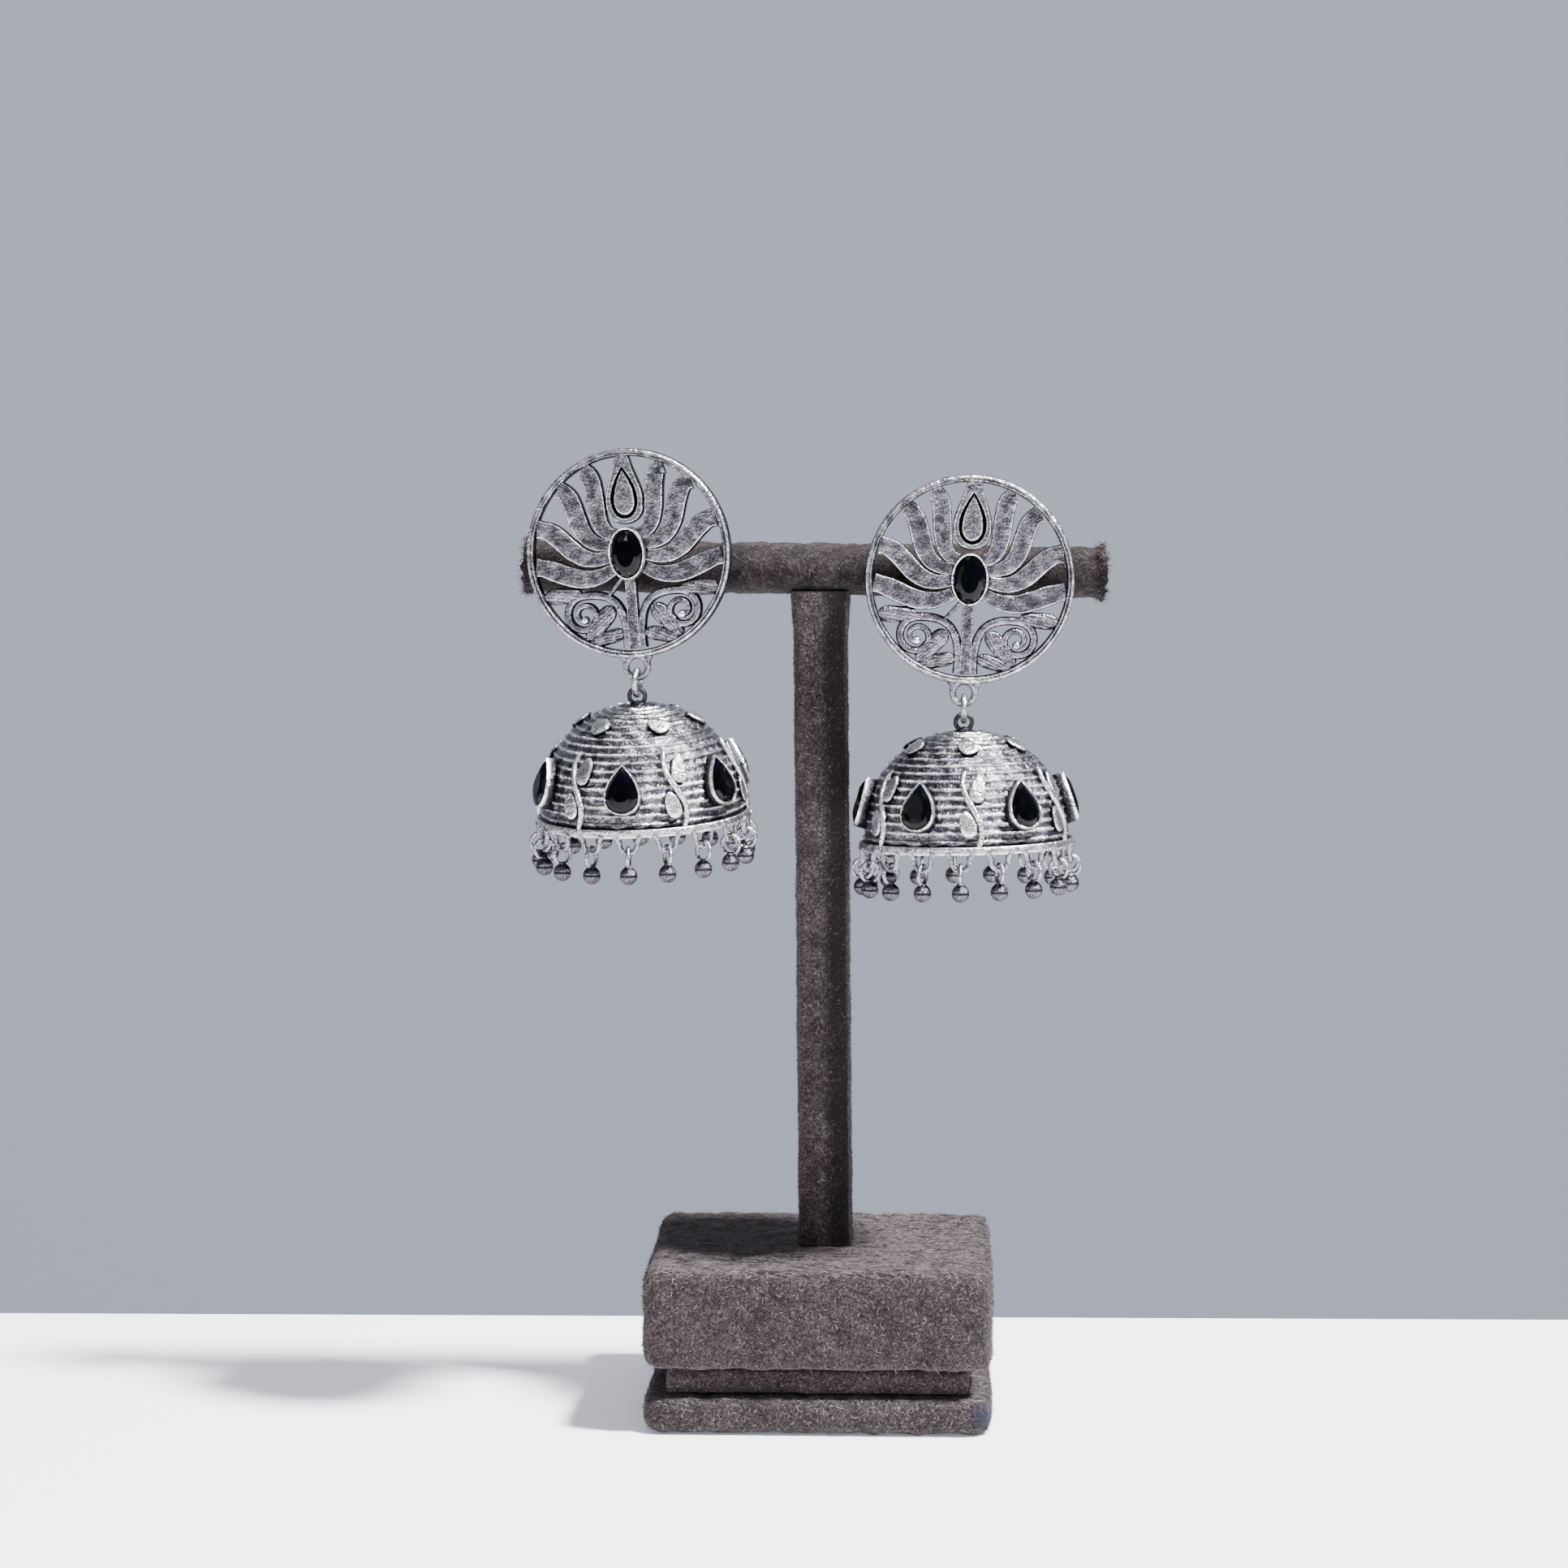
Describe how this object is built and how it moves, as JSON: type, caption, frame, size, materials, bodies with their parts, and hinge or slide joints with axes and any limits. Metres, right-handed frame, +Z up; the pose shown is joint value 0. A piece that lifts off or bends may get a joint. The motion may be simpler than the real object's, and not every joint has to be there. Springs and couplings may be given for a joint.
{
  "type": "pair of jhumka earrings on a t-bar display stand",
  "caption": "Jhumka earrings: pierced lotus discs with hollow ribbed domes fringed with bead drops, hung on a suede T-bar stand.",
  "frame": {"origin": "middle of the stand's underside, on the surface it stands on", "axes": "+Z up along the post, +X to the right along the bar, -Y towards the viewer, where the discs face"},
  "size_m": [0.0805, 0.046, 0.1319],
  "materials": {
    "oxidised_silver": "oxidised silver plate, bright on the raised edges and black in the recesses",
    "black_stone": "black faceted glass stone, glossy",
    "suede": "taupe-brown napped suede"
  },
  "bodies": {
    "stand": {"stand_foot": "suede", "stand_neck": "suede", "stand_block": "suede", "stand_post": "suede", "stand_bar": "suede", "left_lotus_disc": "oxidised_silver", "left_oval_stone": "black_stone", "right_lotus_disc": "oxidised_silver", "right_oval_stone": "black_stone"},
    "left_ring": {"left_jump_ring": "oxidised_silver"},
    "left_bell": {"left_dome": "oxidised_silver", "left_pear_stone_1": "black_stone", "left_pear_stone_2": "black_stone", "left_pear_stone_3": "black_stone", "left_pear_stone_4": "black_stone", "left_pear_stone_5": "black_stone", "left_pear_stone_6": "black_stone", "left_drop_01": "oxidised_silver", "left_drop_02": "oxidised_silver", "left_drop_03": "oxidised_silver", "left_drop_04": "oxidised_silver", "left_drop_05": "oxidised_silver", "left_drop_06": "oxidised_silver", "left_drop_07": "oxidised_silver", "left_drop_08": "oxidised_silver", "left_drop_09": "oxidised_silver", "left_drop_10": "oxidised_silver", "left_drop_11": "oxidised_silver", "left_drop_12": "oxidised_silver", "left_drop_13": "oxidised_silver", "left_drop_14": "oxidised_silver", "left_drop_15": "oxidised_silver", "left_drop_16": "oxidised_silver", "left_drop_17": "oxidised_silver"},
    "right_ring": {"right_jump_ring": "oxidised_silver"},
    "right_bell": {"right_dome": "oxidised_silver", "right_pear_stone_1": "black_stone", "right_pear_stone_2": "black_stone", "right_pear_stone_3": "black_stone", "right_pear_stone_4": "black_stone", "right_pear_stone_5": "black_stone", "right_pear_stone_6": "black_stone", "right_drop_01": "oxidised_silver", "right_drop_02": "oxidised_silver", "right_drop_03": "oxidised_silver", "right_drop_04": "oxidised_silver", "right_drop_05": "oxidised_silver", "right_drop_06": "oxidised_silver", "right_drop_07": "oxidised_silver", "right_drop_08": "oxidised_silver", "right_drop_09": "oxidised_silver", "right_drop_10": "oxidised_silver", "right_drop_11": "oxidised_silver", "right_drop_12": "oxidised_silver", "right_drop_13": "oxidised_silver", "right_drop_14": "oxidised_silver", "right_drop_15": "oxidised_silver", "right_drop_16": "oxidised_silver", "right_drop_17": "oxidised_silver"}
  },
  "joints": [
    {"name": "left_ring_swing", "type": "hinge", "parent": "stand", "child": "left_ring", "pos_m": [-0.02489, -0.00753, 0.10084], "axis": [0.986, -0.1668, 0], "range_deg": [-20, 20]},
    {"name": "left_bell_swing", "type": "hinge", "parent": "left_ring", "child": "left_bell", "pos_m": [-0.02489, -0.00753, 0.09855], "axis": [0.1668, 0.986, 0], "range_deg": [-12, 22]},
    {"name": "right_ring_swing", "type": "hinge", "parent": "stand", "child": "right_ring", "pos_m": [0.01945, -0.00635, 0.09732], "axis": [1, 0, 0], "range_deg": [-20, 2]},
    {"name": "right_bell_swing", "type": "hinge", "parent": "right_ring", "child": "right_bell", "pos_m": [0.01945, -0.00635, 0.09503], "axis": [0, 1, 0], "range_deg": [-22, 0.5]}
  ]
}
